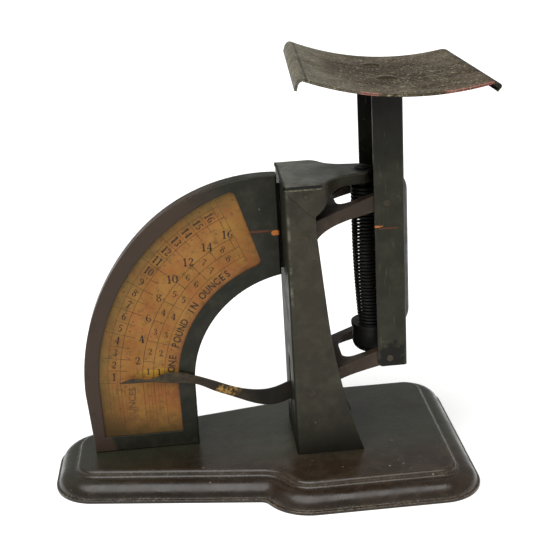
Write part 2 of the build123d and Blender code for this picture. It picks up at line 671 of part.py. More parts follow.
def middle_of(solids):
    """X and Y of the middle of the box round all the solids."""
    boxes = [solid.bounding_box() for solid in solids]
    x = (min(box.min.X for box in boxes) + max(box.max.X for box in boxes)) / 2
    y = (min(box.min.Y for box in boxes) + max(box.max.Y for box in boxes)) / 2
    return x, y


NODES = {
    "base_shell": base_shell,
    "post_shell": post_shell,
    "post_foot_screws": post_foot_screws,
    "post_foot_nuts": post_foot_nuts,
    "post_cap_arm": post_cap_arm,
    "cap_rivets": cap_rivets,
    "dial_bezel": lambda: case_with_passages(dial_bezel()),
    "dial_card": dial_card,
    "card_backer": card_backer,
    "dial_back_cover": dial_back_cover,
    "lower_fulcrum_rod": lambda: fulcrum_rod(FULCRUM),
    "upper_fulcrum_rod": lambda: fulcrum_rod(UPPER_FULCRUM),
    "lower_yoke": lower_yoke,
    "pointer": pointer,
    "pointer_rivets": pointer_rivets,
    "upper_yoke": upper_yoke,
    "column_channel": column_channel,
    "platform": platform,
    "column_lower_pins": lambda: column_pins(LOWER_PIN),
    "column_upper_pins": lambda: column_pins(UPPER_PIN),
    "lower_spring_cup": lower_spring_cup,
    "main_spring": main_spring,
    "upper_spring_plug": upper_spring_plug,
    "zero_adjust_screw": zero_adjust_screw,
    "zero_screw_collar": zero_screw_collar,
}

pieces = {name: build() for name, build in NODES.items()}
groups = {name: piece if isinstance(piece, list) else [piece] for name, piece in pieces.items()}
middle_x, middle_y = middle_of([solid for group in groups.values() for solid in group])

for name, group in groups.items():
    placed = [Pos(-middle_x, -middle_y, 0) * solid for solid in group]
    export_step(placed[0] if len(placed) == 1 else Compound(children=placed), f"parts/{name}.step")
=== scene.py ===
import bpy
import bmesh
import math
from mathutils import Matrix, Vector


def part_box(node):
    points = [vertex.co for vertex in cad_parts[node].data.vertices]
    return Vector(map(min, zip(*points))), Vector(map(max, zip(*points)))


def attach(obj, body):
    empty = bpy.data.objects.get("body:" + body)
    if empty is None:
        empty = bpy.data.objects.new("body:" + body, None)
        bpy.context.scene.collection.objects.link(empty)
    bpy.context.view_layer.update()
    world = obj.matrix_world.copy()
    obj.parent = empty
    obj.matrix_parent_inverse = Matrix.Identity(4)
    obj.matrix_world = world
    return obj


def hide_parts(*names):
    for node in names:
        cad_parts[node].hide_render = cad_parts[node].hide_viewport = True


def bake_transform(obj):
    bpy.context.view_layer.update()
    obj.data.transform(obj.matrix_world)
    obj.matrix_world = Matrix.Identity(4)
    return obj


# Letter scale: looks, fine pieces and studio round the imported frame. Metres, the frame's own axes.
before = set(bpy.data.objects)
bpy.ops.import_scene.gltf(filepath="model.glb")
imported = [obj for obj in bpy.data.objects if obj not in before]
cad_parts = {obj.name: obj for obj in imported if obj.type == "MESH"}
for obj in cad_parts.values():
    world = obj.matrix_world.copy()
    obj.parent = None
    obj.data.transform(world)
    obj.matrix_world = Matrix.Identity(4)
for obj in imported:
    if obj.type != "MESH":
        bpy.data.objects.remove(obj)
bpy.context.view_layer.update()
MM = 0.001


# --- places taken from the frame ------------------------------------------------------
def middle(node):
    """Middle of a CAD node's box."""
    low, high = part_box(node)
    return (low + high) / 2


FULCRUM = middle("lower_fulcrum_rod")
CARD_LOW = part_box("dial_card")[0]
CARD_FACE = CARD_LOW.y
CASE_LOW, CASE_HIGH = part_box("dial_bezel")
BASE_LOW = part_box("base_shell")[0]
BASE_MIDDLE = middle("base_shell")
POST_LOW, POST_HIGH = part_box("post_shell")
COLUMN_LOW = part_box("column_channel")[0]
COLUMN_PIN = middle("column_upper_pins")
PLATE_LOW, PLATE_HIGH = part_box("platform")
PLATE_MIDDLE = middle("platform")
ARM_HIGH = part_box("post_cap_arm")[1]
POINTER_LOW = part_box("pointer")[0]


def off(point, x, y, z):
    """A place given in millimetres from a point."""
    return (point.x + x * MM, point.y + y * MM, point.z + z * MM)


# --- materials ------------------------------------------------------------------------
def linear(level):
    """One 0 to 255 screen level as a linear colour value."""
    share = level / 255
    return share / 12.92 if share <= 0.04045 else ((share + 0.055) / 1.055) ** 2.4


def rgb(red, green, blue):
    """Screen levels as a linear colour."""
    return (linear(red), linear(green), linear(blue), 1.0)


class Surface:
    """One material, with short ways to add the nodes that its look needs."""

    def __init__(self, name):
        self.material = bpy.data.materials.new(name)
        self.material.use_nodes = True
        self.tree = self.material.node_tree
        self.shader = self.tree.nodes["Principled BSDF"]
        self.place = self.add("ShaderNodeTexCoord").outputs["Object"]

    def add(self, kind, **settings):
        """A new node with its settings."""
        node = self.tree.nodes.new(kind)
        for key, value in settings.items():
            setattr(node, key, value)
        return node

    def put(self, socket, value):
        """Joins or sets a socket."""
        if isinstance(value, bpy.types.NodeSocket):
            self.tree.links.new(value, socket)
        else:
            socket.default_value = value

    def math(self, operation, first, second=0.0):
        """Arithmetic on two values."""
        node = self.add("ShaderNodeMath", operation=operation)
        self.put(node.inputs[0], first)
        self.put(node.inputs[1], second)
        return node.outputs[0]

    def product(self, *values):
        """Several masks or amounts multiplied together."""
        result = values[0]
        for value in values[1:]:
            result = self.math("MULTIPLY", result, value)
        return result

    def levels(self, value, low, high):
        """Stretches low..high to 0..1, held at both ends. low may be the larger one."""
        node = self.add("ShaderNodeMapRange", clamp=True)
        self.put(node.inputs["Value"], value)
        node.inputs["From Min"].default_value = low
        node.inputs["From Max"].default_value = high
        return node.outputs["Result"]

    def moved(self, stretch=(1, 1, 1), turn=(0, 0, 0), shift=(0, 0, 0)):
        """The place on the object, scaled, turned and shifted for a texture."""
        node = self.add("ShaderNodeMapping")
        self.put(node.inputs["Vector"], self.place)
        node.inputs["Scale"].default_value = stretch
        node.inputs["Rotation"].default_value = [math.radians(angle) for angle in turn]
        node.inputs["Location"].default_value = shift
        return node.outputs["Vector"]

    def noise(self, size, detail=4.0, rough=0.55, **moves):
        """Cloudy noise whose features are about size metres across."""
        node = self.add("ShaderNodeTexNoise")
        self.put(node.inputs["Vector"], self.moved(**moves))
        node.inputs["Scale"].default_value = 1 / size
        node.inputs["Detail"].default_value = detail
        node.inputs["Roughness"].default_value = rough
        return node.outputs["Fac"]

    def specks(self, size, share):
        """Small round specks, about size metres apart, each a share of that across."""
        node = self.add("ShaderNodeTexVoronoi")
        self.put(node.inputs["Vector"], self.place)
        node.inputs["Scale"].default_value = 1 / size
        return self.levels(node.outputs["Distance"], share, share * 0.6)

    def scratches(self, size, along, share, **moves):
        """Fine scratches that run along a direction given by its stretch."""
        lines = self.noise(size, 2.0, 0.5, stretch=along, **moves)
        broken = self.noise(size * 9, 3.0, 0.6, shift=(3.1, 1.7, 0.4))
        return self.product(self.levels(lines, 1 - share, 1 - share * 0.7), self.levels(broken, 0.45, 0.62))

    def mix(self, factor, first, second):
        """Colour between first and second."""
        node = self.add("ShaderNodeMix", data_type="RGBA")
        self.put(node.inputs["Factor"], factor)
        self.put(node.inputs["A"], first)
        self.put(node.inputs["B"], second)
        return node.outputs["Result"]

    def coat(self, colour, tint, *masks):
        """Lays a tint over a colour, as far as the masks and amounts allow."""
        return self.mix(self.product(*masks), colour, tint)

    def edge(self, radius):
        """1 on sharp edges, fading to 0 within radius."""
        bevel = self.add("ShaderNodeBevel", samples=6)
        bevel.inputs["Radius"].default_value = radius
        straight = self.add("ShaderNodeNewGeometry").outputs["Normal"]
        dot = self.add("ShaderNodeVectorMath", operation="DOT_PRODUCT")
        self.put(dot.inputs[0], bevel.outputs["Normal"])
        self.put(dot.inputs[1], straight)
        return self.levels(dot.outputs["Value"], 0.995, 0.86)

    def near(self, point, radius, flatten=(1, 1, 1)):
        """1 at a point, fading to 0 at radius. flatten above 1 narrows that axis."""
        offset = self.add("ShaderNodeVectorMath", operation="SUBTRACT")
        self.put(offset.inputs[0], self.place)
        offset.inputs[1].default_value = point
        scaled = self.add("ShaderNodeVectorMath", operation="MULTIPLY")
        self.put(scaled.inputs[0], offset.outputs["Vector"])
        scaled.inputs[1].default_value = flatten
        length = self.add("ShaderNodeVectorMath", operation="LENGTH")
        self.put(length.inputs[0], scaled.outputs["Vector"])
        return self.levels(length.outputs["Value"], radius, 0.0)

    def axis(self, letter):
        """The X, Y or Z place on the object."""
        node = self.add("ShaderNodeSeparateXYZ")
        self.put(node.inputs["Vector"], self.place)
        return node.outputs[letter]

    def from_fulcrum(self):
        """Distance from the fulcrum's axis, as the dial's rings are measured."""
        node = self.add("ShaderNodeVectorMath", operation="DISTANCE")
        flat = self.add("ShaderNodeVectorMath", operation="MULTIPLY")
        self.put(flat.inputs[0], self.place)
        flat.inputs[1].default_value = (1, 0, 1)
        self.put(node.inputs[0], flat.outputs["Vector"])
        node.inputs[1].default_value = (FULCRUM.x, 0, FULCRUM.z)
        return node.outputs["Value"]

    def patch(self, point, radius, flatten=(1, 1, 1), ragged=0.35, size=0.002):
        """A torn-edged mark round a point, 1 inside and 0 outside. size is that of the tears."""
        near = self.near(point, radius, flatten)
        torn = self.product(self.math("SUBTRACT", self.noise(size, 4, 0.65), 0.5), 2 * ragged)
        mark = self.levels(self.math("ADD", near, torn), 0.3, 0.5)
        return self.product(mark, self.levels(near, 0.0, 0.12))

    def finish(self, colour, roughness, heights, rounding=0.0, metal=0.0, shine=0.25):
        """Connects the look to the shader. heights are (value, metres) pairs added as bumps."""
        self.put(self.shader.inputs["Base Color"], colour)
        self.put(self.shader.inputs["Roughness"], roughness)
        self.put(self.shader.inputs["Metallic"], metal)
        self.put(self.shader.inputs["Specular IOR Level"], shine)
        normal = None
        if rounding:
            bevel = self.add("ShaderNodeBevel", samples=6)
            bevel.inputs["Radius"].default_value = rounding
            normal = bevel.outputs["Normal"]
        for value, depth in heights:
            bump = self.add("ShaderNodeBump")
            bump.inputs["Distance"].default_value = depth
            self.put(bump.inputs["Height"], value)
            if normal:
                self.put(bump.inputs["Normal"], normal)
            normal = bump.outputs["Normal"]
        if normal:
            self.put(self.shader.inputs["Normal"], normal)
        return self.material


COPPER = rgb(176, 104, 48)
OLD_COPPER = rgb(84, 47, 27)


def japan(name, dark, warm, worn, wear=0.5, rough=0.36, shine=0.3, mottling=0.3, marks=(), matte=None):
    """Baked black-brown enamel: clouded colour, rubbed edges, hair scratches, dings and smudges.
    marks are (mask maker, colour) pairs for single places of damage and of painted light and shade. matte
    makes a mask of where it has lost its shine."""
    s = Surface(name)
    clouds = s.levels(s.noise(0.030, 5, 0.6), 0.34, 0.66)
    colour = s.mix(clouds, dark, warm)
    mottle = s.levels(s.noise(0.007, 5, 0.62, shift=(2, 7, 5)), 0.46, 0.74)
    colour = s.coat(colour, worn, mottle, mottling)
    soot = s.levels(s.noise(0.011, 4, 0.6, shift=(9, 3, 1)), 0.52, 0.74)
    colour = s.coat(colour, rgb(24, 22, 18), soot, 0.45)
    hairs = s.scratches(0.0007, (1, 1, 0.08), 0.36, turn=(0, 24, 0))
    colour = s.coat(colour, worn, hairs, wear * 0.4)
    rub = s.product(s.edge(0.0007), s.levels(s.noise(0.004, 4, 0.65), 0.42, 0.66))
    colour = s.coat(colour, worn, rub, wear)
    sparse = s.levels(s.noise(0.014, 2, 0.5, shift=(5, 5, 2)), 0.55, 0.62)
    dings = s.product(s.specks(0.0052, 0.11), sparse)
    colour = s.coat(colour, rgb(150, 134, 108), dings, wear * 0.7)
    for mask, tint in marks:
        colour = s.mix(mask(s), colour, tint)
    smudge = s.levels(s.noise(0.009, 4, 0.6, shift=(1, 8, 3)), 0.35, 0.7)
    roughness = s.math("ADD", s.product(smudge, 0.2), rough)
    roughness = s.math("ADD", roughness, s.product(rub, 0.15))
    heights = [(s.noise(0.012, 3, 0.5), 0.00022), (s.noise(0.0018, 3, 0.55), 0.00003), (hairs, -0.00002),
               (dings, -0.00006)]
    if matte:
        shine = s.product(s.math("SUBTRACT", 1.0, matte(s)), shine)
    return s.finish(colour, roughness, heights, rounding=0.0005, shine=shine)


PLATE_TURN = 3.2
FOLD_FROM_LEFT = 4.4 * MM
RED_CHIPS = ((0.34, 6 * MM), (0.73, 8 * MM), (0.84, 7 * MM))


def plate_paint():
    """The letter plate: dull olive-brown paint, scuffed through in the middle, red at spots on its rim.
    Distances from its left and right ends allow for its turn in degrees on the column. RED_CHIPS are
    (share of the way along the front edge, radius)."""
    s = Surface("worn_plate")
    slope = math.tan(math.radians(PLATE_TURN))
    skewed = s.math("SUBTRACT", s.axis("X"), s.product(s.axis("Y"), slope))
    from_left = s.math("SUBTRACT", skewed, PLATE_LOW.x - PLATE_LOW.y * slope)
    from_right = s.math("SUBTRACT", PLATE_HIGH.x - PLATE_HIGH.y * slope, skewed)
    patches = s.levels(s.noise(0.011, 8, 0.7, stretch=(0.7, 1, 1)), 0.38, 0.62)
    colour = s.mix(patches, rgb(94, 84, 67), rgb(58, 46, 31))
    left_end = s.levels(s.math("ADD", from_left, s.product(s.noise(0.010, 4, 0.6), 0.012)), 0.036, 0.014)
    colour = s.coat(colour, rgb(102, 98, 85), left_end, 0.75)
    inside = s.near(off(PLATE_MIDDLE, 2, 0, -6), 0.046, (1, 0.7, 1))
    worn = s.levels(s.math("ADD", inside, s.product(s.noise(0.010, 5, 0.65), 0.9)), 0.62, 1.05)
    colour = s.coat(colour, rgb(46, 34, 19), worn, 0.9)
    stains = s.levels(s.noise(0.0075, 6, 0.75, stretch=(0.55, 1, 1), shift=(4, 2, 1)), 0.52, 0.60)
    colour = s.coat(colour, rgb(42, 34, 23), stains, 0.8, s.levels(worn, -0.2, 0.6))
    verdigris = s.levels(s.noise(0.010, 4, 0.6, shift=(8, 1, 6)), 0.55, 0.66)
    colour = s.coat(colour, rgb(82, 84, 68), verdigris, 0.4)
    for size, shift, amount in ((0.0009, (5, 1, 3), 0.9), (0.0015, (9, 4, 4), 0.7)):
        grains = s.levels(s.noise(size, 3, 0.6, shift=shift), 0.59, 0.65)
        where = s.levels(s.noise(0.009, 5, 0.7, shift=shift), 0.42, 0.54)
        colour = s.coat(colour, rgb(166, 156, 126), grains, where, amount)
    streaks = s.scratches(0.0008, (0.12, 1, 1), 0.36, turn=(0, 0, 12))
    colour = s.coat(colour, rgb(132, 118, 88), streaks, 0.3)
    pits = s.levels(s.noise(0.0015, 3, 0.65, shift=(1, 9, 7)), 0.57, 0.64)
    colour = s.coat(colour, rgb(28, 22, 15), pits, 0.75)
    # Painted shade along the crease where the plate's left lip turns up.
    fold_crease_shade = s.levels(s.math("ABSOLUTE", s.math("SUBTRACT", from_left, FOLD_FROM_LEFT)), 0.0007, 0.0003)
    torn = s.levels(s.noise(0.003, 4, 0.7, shift=(6, 6, 1)), 0.36, 0.52)
    colour = s.coat(colour, rgb(34, 30, 24), fold_crease_shade, torn, 0.75)
    rolled = s.levels(from_right, 0.0042, 0.0014)
    colour = s.coat(colour, rgb(34, 33, 27), rolled, 0.8)
    rim = s.edge(0.0007)
    colour = s.coat(colour, rgb(46, 42, 34), rim, 0.7)
    for share, radius in RED_CHIPS:
        x = PLATE_LOW.x + share * (PLATE_HIGH.x - PLATE_LOW.x)
        front = PLATE_LOW.y + (PLATE_HIGH.x - x) * slope
        chip = s.patch((x, front, PLATE_MIDDLE.z), radius, (1, 3, 0.2), 0.5)
        colour = s.coat(colour, rgb(188, 112, 106), chip, s.levels(rim, 0.05, 0.4), 0.9)
    rough = s.math("ADD", s.product(patches, 0.18), 0.46)
    heights = [(s.noise(0.004, 4, 0.6), 0.00014), (stains, -0.00004), (grains, 0.00002)]
    return s.finish(colour, rough, heights, rounding=0.0004, metal=0.1, shine=0.1)


def aged_paper():
    """The dial's card: varnished tan paper, golden in places, stained green-brown at its rim."""
    s = Surface("printed_card")
    clouds = s.levels(s.noise(0.013, 5, 0.6), 0.36, 0.64)
    colour = s.mix(clouds, rgb(148, 106, 54), rgb(134, 88, 43))
    blush = s.levels(s.noise(0.010, 4, 0.62, shift=(7, 1, 3)), 0.50, 0.68)
    colour = s.coat(colour, rgb(146, 84, 50), blush, 0.6)
    gold = s.levels(s.noise(0.009, 4, 0.6, shift=(2, 5, 1)), 0.54, 0.70)
    colour = s.coat(colour, rgb(148, 116, 50), gold, 0.6)
    radius = s.from_fulcrum()
    ragged = s.product(s.math("SUBTRACT", s.noise(0.006, 5, 0.68), 0.5), 0.013)
    outer = s.levels(s.math("ADD", radius, ragged), 0.0825, 0.0915)
    colour = s.coat(colour, rgb(92, 76, 42), outer, 0.8)
    inner = s.levels(s.math("ADD", radius, ragged), 0.0610, 0.0560)
    colour = s.coat(colour, rgb(112, 66, 46), inner, 0.7)
    low = s.levels(s.math("ADD", s.axis("Z"), ragged), CARD_LOW.z + 0.013, CARD_LOW.z + 0.002)
    colour = s.coat(colour, rgb(62, 54, 28), low, 0.85)
    right = s.levels(s.axis("X"), FULCRUM.x - 0.034, FULCRUM.x - 0.012)
    colour = s.coat(colour, rgb(92, 52, 18), right, 0.4)
    left_foot = s.near((CARD_LOW.x, CARD_FACE, CARD_LOW.z), 0.030)
    colour = s.coat(colour, rgb(58, 42, 22), left_foot, 0.7)
    above_pointer = (FULCRUM.x - 0.066, CARD_FACE, FULCRUM.z + 0.0075)
    varnish = s.patch(above_pointer, 0.016, (1, 1, 5), 0.4, 0.003)
    colour = s.coat(colour, rgb(166, 126, 38), varnish, 0.7)
    grime = s.levels(s.noise(0.0035, 6, 0.75, shift=(3, 9, 2)), 0.53, 0.66)
    colour = s.coat(colour, rgb(82, 64, 38), grime, 0.6)
    cracks = s.scratches(0.0009, (1, 1, 0.10), 0.37, turn=(0, 12, 0))
    colour = s.coat(colour, rgb(70, 46, 30), cracks, 0.4)
    foxing = s.specks(0.0038, 0.16)
    colour = s.coat(colour, rgb(72, 52, 30), foxing, 0.5)
    fibre = s.noise(0.0006, 2, 0.6, stretch=(1, 1, 0.35))
    colour = s.coat(colour, rgb(94, 62, 34), s.levels(fibre, 0.5, 0.8), 0.2)
    rough = s.math("ADD", s.product(clouds, 0.12), 0.46)
    heights = [(fibre, 0.00002), (grime, -0.00004), (s.noise(0.008, 2, 0.5), 0.0001)]
    return s.finish(colour, rough, heights, shine=0.14)


def faded_ink(name, full, faded):
    """Printing ink, worn thin in places so that the card shows through."""
    s = Surface(name)
    worn = s.levels(s.noise(0.004, 4, 0.6), 0.4, 0.72)
    grain = s.levels(s.noise(0.0007, 2, 0.6), 0.4, 0.7)
    colour = s.coat(full, faded, worn, 0.7)
    colour = s.coat(colour, faded, grain, 0.35)
    rough = s.math("ADD", s.product(worn, 0.1), 0.5)
    return s.finish(colour, rough, [(grain, 0.00001)])


def bare_steel(name, bright, dull, metal, rough):
    """Plain steel gone dull, with a brushed grain and darker tarnish."""
    s = Surface(name)
    tarnish = s.levels(s.noise(0.004, 5, 0.65), 0.35, 0.7)
    colour = s.mix(tarnish, bright, dull)
    grain = s.noise(0.0006, 2, 0.6, stretch=(1, 0.15, 1))
    worn = s.product(s.edge(0.0004), 0.5)
    colour = s.mix(worn, colour, bright)
    roughness = s.math("ADD", s.product(tarnish, 0.2), rough)
    return s.finish(colour, roughness, [(grain, 0.00001)], rounding=0.0002, metal=metal)


def pale_floor():
    """The studio's pale paper ground, lit a little from below so that shadows stay light."""
    s = Surface("studio_ground")
    grain = s.noise(0.002, 3, 0.5)
    colour = s.coat(rgb(226, 226, 225), rgb(218, 218, 217), grain, 0.03)
    s.shader.inputs["Emission Color"].default_value = (1.0, 1.0, 1.0, 1.0)
    s.shader.inputs["Emission Strength"].default_value = 0.34
    return s.finish(colour, 0.85, [])


def base_marks():
    """Wear and painted light on the base: an olive bloom at the back of the plateau, painted shadow of the
    dial on the plateau's left, a rubbed front bead with a painted highlight, and worn chips with painted
    highlights on its ridges.
    """
    def bloom(s):
        behind = s.levels(s.axis("Y"), BASE_MIDDLE.y - 0.031, BASE_MIDDLE.y - 0.004)
        return s.product(behind, 0.75, s.levels(s.noise(0.03, 4, 0.6), 0.2, 0.5))

    # Painted shadow of the dial case on the plateau, darker towards the left.
    def under_dial(s):
        return s.product(s.levels(s.axis("X"), FULCRUM.x - 0.020, FULCRUM.x - 0.050), 0.4)

    # Worn chips along the base's ridges, brightened as painted highlights.
    def glints(s):
        grains = s.levels(s.noise(0.0009, 3, 0.6, shift=(3, 3, 8)), 0.50, 0.60)
        along = s.levels(s.noise(0.012, 4, 0.65, shift=(1, 6, 2)), 0.38, 0.54)
        height = s.levels(s.axis("Z"), BASE_LOW.z - 0.0005, BASE_LOW.z + 0.007)
        return s.product(s.edge(0.0019), grains, along, height)

    # Rubbed paint on the front bead, lightened also as a painted highlight.
    def bead(s):
        high = s.levels(s.axis("Z"), BASE_LOW.z + 0.0070, BASE_LOW.z + 0.0084)
        front = s.levels(s.axis("Y"), BASE_MIDDLE.y - 0.014, BASE_MIDDLE.y - 0.018)
        rubbed = s.product(s.edge(0.0030), s.levels(s.noise(0.006, 4, 0.65), 0.30, 0.55))
        return s.product(high, front, rubbed, 0.5)
    return [(bloom, rgb(48, 52, 40)), (under_dial, rgb(18, 13, 8)), (bead, rgb(112, 100, 86)),
            (glints, rgb(170, 160, 140))]


def case_marks():
    """Marks on the dial case: a line scraped to the copper by the post, a brown outer rim, painted shade on
    its side.
    """
    corner = Vector((CASE_HIGH.x, CASE_LOW.y, CASE_HIGH.z))

    def outer_rim(s):
        ring = s.levels(s.from_fulcrum(), 0.0908, 0.0925)
        left = s.levels(s.axis("X"), FULCRUM.x - 0.028, FULCRUM.x - 0.050)
        return s.product(ring, left, s.levels(s.noise(0.010, 4, 0.6), 0.1, 0.45))

    # Painted shade, near black, on the case's side towards the post.
    def side_flank(s):
        return s.levels(s.axis("X"), CASE_HIGH.x - 0.0009, CASE_HIGH.x - 0.0003)

    def scrape(s):
        return s.patch(off(corner, -10, 0, -24.2), 0.013, (1, 1, 16), 0.35, 0.0012)

    def bare_spot(s):
        return s.patch(off(corner, -1.3, 0, -25.2), 0.0034, (1, 1, 1.9), 0.45, 0.0012)
    return [(outer_rim, rgb(60, 48, 39)), (side_flank, rgb(12, 12, 9)), (scrape, OLD_COPPER),
            (bare_spot, COPPER)]


def column_marks():
    """Damage and painted shade on the column: a copper scratch below the upper pin, fine rubs, painted shade
    at its top under the plate and a dark foot. Its tongues' upset heads show above the plate as rubbed paint."""
    scratch = Vector((COLUMN_LOW.x, COLUMN_LOW.y, COLUMN_PIN.z - 10 * MM))
    chipped_foot = off(COLUMN_LOW, 9, 0, 4)

    # Painted shade on the column's top under the plate, darker towards the plate.
    def sooty_top(s):
        return s.levels(s.axis("Z"), PLATE_LOW.z - 0.034, PLATE_LOW.z - 0.008)

    def heads(s):
        return s.levels(s.axis("Z"), PLATE_LOW.z + 0.001, PLATE_LOW.z + 0.0015)

    def rubs(s):
        return s.product(s.scratches(0.0014, (1, 1, 0.12), 0.42, turn=(0, 6, 0)), 0.35)

    def bright_scratch(s):
        return s.patch(off(scratch, 3.4, 0, 0.1), 0.0042, (1, 1, 5.5), 0.4, 0.0014)

    def faint_scratch(s):
        return s.patch(off(scratch, 8.5, 0, -0.9), 0.0072, (1, 1, 13), 0.4, 0.0014)

    def foot(s):
        return s.patch(chipped_foot, 0.009, (1, 1, 0.8), 0.8, 0.0022)
    return [(sooty_top, rgb(8, 6, 3)), (heads, rgb(78, 68, 54)), (rubs, rgb(104, 100, 84)),
            (faint_scratch, OLD_COPPER), (bright_scratch, COPPER), (foot, rgb(18, 17, 12))]


def left_side(s):
    """The post's and cap's side towards the dial."""
    return s.levels(s.axis("X"), POST_LOW.x + 0.0010, POST_LOW.x + 0.0004)


def dulled_side(s):
    """How far grime has taken the shine off that side."""
    return s.product(left_side(s), 0.85)


def post_marks():
    """Marks on the post and cap: a rubbed front corner, a rubbed top lightened as painted light from above,
    painted shade on the side towards the dial and towards the foot, a painted shadow line under the lip
    across the cap's flap with a painted highlight on the lip's edge, and a scar by the zero screw."""
    front_corner = (POST_LOW.x + 1.0 * MM, POST_LOW.y, POST_HIGH.z - 30 * MM)
    screw_spot = (ARM_HIGH.x - 4 * MM, 0, ARM_HIGH.z)

    def corner(s):
        upright = s.near(front_corner, 0.05, (38, 8, 1))
        return s.product(s.levels(upright, 0.1, 0.7), s.levels(s.noise(0.006, 4, 0.6), 0.46, 0.68))

    # Rubbed paint on the cap's top, lightened also as painted light from above.
    def top_face(s):
        high = s.levels(s.axis("Z"), ARM_HIGH.z - 0.0009, ARM_HIGH.z - 0.0003)
        return s.product(high, s.levels(s.noise(0.010, 5, 0.65), 0.25, 0.6))

    def band(s, below, half):
        """A line across the cap's front flap, at a distance below the cap's top."""
        drop = s.math("ABSOLUTE", s.math("SUBTRACT", s.axis("Z"), ARM_HIGH.z - below))
        front = s.levels(s.axis("Y"), POST_LOW.y - 0.0003, POST_LOW.y - 0.0006)
        return s.product(s.levels(drop, half, half * 0.5), front)

    # Painted shadow line under the cap's lip, across the front flap.
    def seam(s):
        return s.product(band(s, 0.0011, 0.0008), s.levels(s.noise(0.004, 4, 0.6), 0.20, 0.40))

    # Painted highlight on the lip's rounded edge.
    def seam_edge(s):
        broken = s.levels(s.noise(0.003, 4, 0.7, shift=(1, 1, 5)), 0.4, 0.6)
        return s.product(band(s, 0.0021, 0.0004), broken)

    # Painted shade, darker towards the post's foot.
    def sooty_foot(s):
        return s.levels(s.axis("Z"), POST_LOW.z + 0.026, POST_LOW.z - 0.004)

    def scar(s):
        return s.patch(screw_spot, 0.009, (1, 1, 1), 0.6, 0.0018)
    # left_side paints shade on the side towards the dial; the other marks are described where they are made.
    return [(corner, rgb(104, 102, 88)), (top_face, rgb(92, 93, 86)), (left_side, rgb(40, 41, 33)),
            (seam, rgb(14, 13, 10)), (seam_edge, rgb(112, 106, 88)), (sooty_foot, rgb(24, 23, 18)),
            (scar, rgb(18, 18, 14))]


def pointer_marks():
    """Speckled gold-brown wear on the middle of the pointer, a greyed, twisted end and a dark root."""
    centre = (FULCRUM.x - 35.5 * MM, POINTER_LOW.y, FULCRUM.z - 3.0 * MM)

    def gold(s):
        grains = s.levels(s.noise(0.0011, 4, 0.7, shift=(4, 4, 1)), 0.46, 0.56)
        return s.product(s.patch(centre, 0.0085, (1, 1, 1.6), 0.3), grains)

    def greyed(s):
        left = s.levels(s.axis("X"), FULCRUM.x - 0.046, FULCRUM.x - 0.056)
        return s.product(left, s.levels(s.noise(0.0028, 5, 0.7, shift=(2, 2, 9)), 0.4, 0.6))

    def root(s):
        return s.product(s.levels(s.axis("X"), FULCRUM.x - 0.030, FULCRUM.x - 0.021), 0.7)
    return [(gold, rgb(166, 128, 66)), (greyed, rgb(68, 57, 40)), (root, rgb(14, 11, 6))]


JAPAN_BASE = japan("japan_base", rgb(30, 21, 13), rgb(42, 32, 22), rgb(122, 108, 90), wear=1.0, rough=0.2,
                   shine=0.34, mottling=0.1, marks=base_marks())
JAPAN_POST = japan("japan_post", rgb(44, 41, 31), rgb(52, 47, 36), rgb(84, 80, 66), wear=0.6, shine=0.2,
                   marks=post_marks(), matte=dulled_side)
JAPAN_CASE = japan("japan_case", rgb(27, 29, 21), rgb(36, 35, 26), rgb(70, 66, 54), wear=0.5, shine=0.18,
                   marks=case_marks())
JAPAN_LINKS = japan("japan_links", rgb(44, 35, 27), rgb(60, 48, 37), rgb(96, 80, 62), wear=0.6, shine=0.2)
JAPAN_POINTER = japan("japan_pointer", rgb(26, 22, 15), rgb(42, 34, 25), rgb(90, 76, 54), wear=0.9,
                      shine=0.2, marks=pointer_marks())
JAPAN_COLUMN = japan("japan_column", rgb(32, 33, 23), rgb(43, 41, 30), rgb(76, 72, 56), wear=0.4,
                     shine=0.18, marks=column_marks())
WORN_PLATE = plate_paint()
CARD = aged_paper()
PALE_INK = faded_ink("pale_ink", rgb(82, 54, 32), rgb(116, 80, 46))
INK = faded_ink("dark_ink", rgb(40, 30, 20), rgb(84, 58, 34))
RULE_INK = faded_ink("rule_ink", rgb(58, 36, 20), rgb(104, 70, 38))
RAW_STEEL = bare_steel("raw_steel", rgb(120, 112, 100), rgb(70, 62, 52), 0.7, 0.4)
DARK_STEEL = bare_steel("dark_steel", rgb(66, 60, 48), rgb(40, 37, 29), 0.3, 0.45)
BLACK_STEEL = bare_steel("black_steel", rgb(26, 25, 23), rgb(10, 9, 8), 0.2, 0.42)

NODE_LOOKS = {
    "base_shell": JAPAN_BASE,
    "post_shell": JAPAN_POST,
    "post_foot_screws": RAW_STEEL,
    "post_foot_nuts": RAW_STEEL,
    "post_cap_arm": JAPAN_POST,
    "cap_rivets": JAPAN_POST,
    "dial_bezel": JAPAN_CASE,
    "dial_card": CARD,
    "card_backer": RAW_STEEL,
    "dial_back_cover": JAPAN_CASE,
    "lower_fulcrum_rod": DARK_STEEL,
    "upper_fulcrum_rod": DARK_STEEL,
    "lower_yoke": JAPAN_LINKS,
    "pointer": JAPAN_POINTER,
    "pointer_rivets": DARK_STEEL,
    "upper_yoke": JAPAN_LINKS,
    "column_channel": JAPAN_COLUMN,
    "platform": WORN_PLATE,
    "column_lower_pins": DARK_STEEL,
    "column_upper_pins": DARK_STEEL,
    "lower_spring_cup": BLACK_STEEL,
    "main_spring": BLACK_STEEL,
    "upper_spring_plug": BLACK_STEEL,
    "zero_adjust_screw": BLACK_STEEL,
    "zero_screw_collar": BLACK_STEEL,
}


def dress_nodes():
    """Gives every CAD node its finished material."""
    for name, look in NODE_LOOKS.items():
        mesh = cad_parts[name].data
        mesh.materials.clear()
        mesh.materials.append(look)


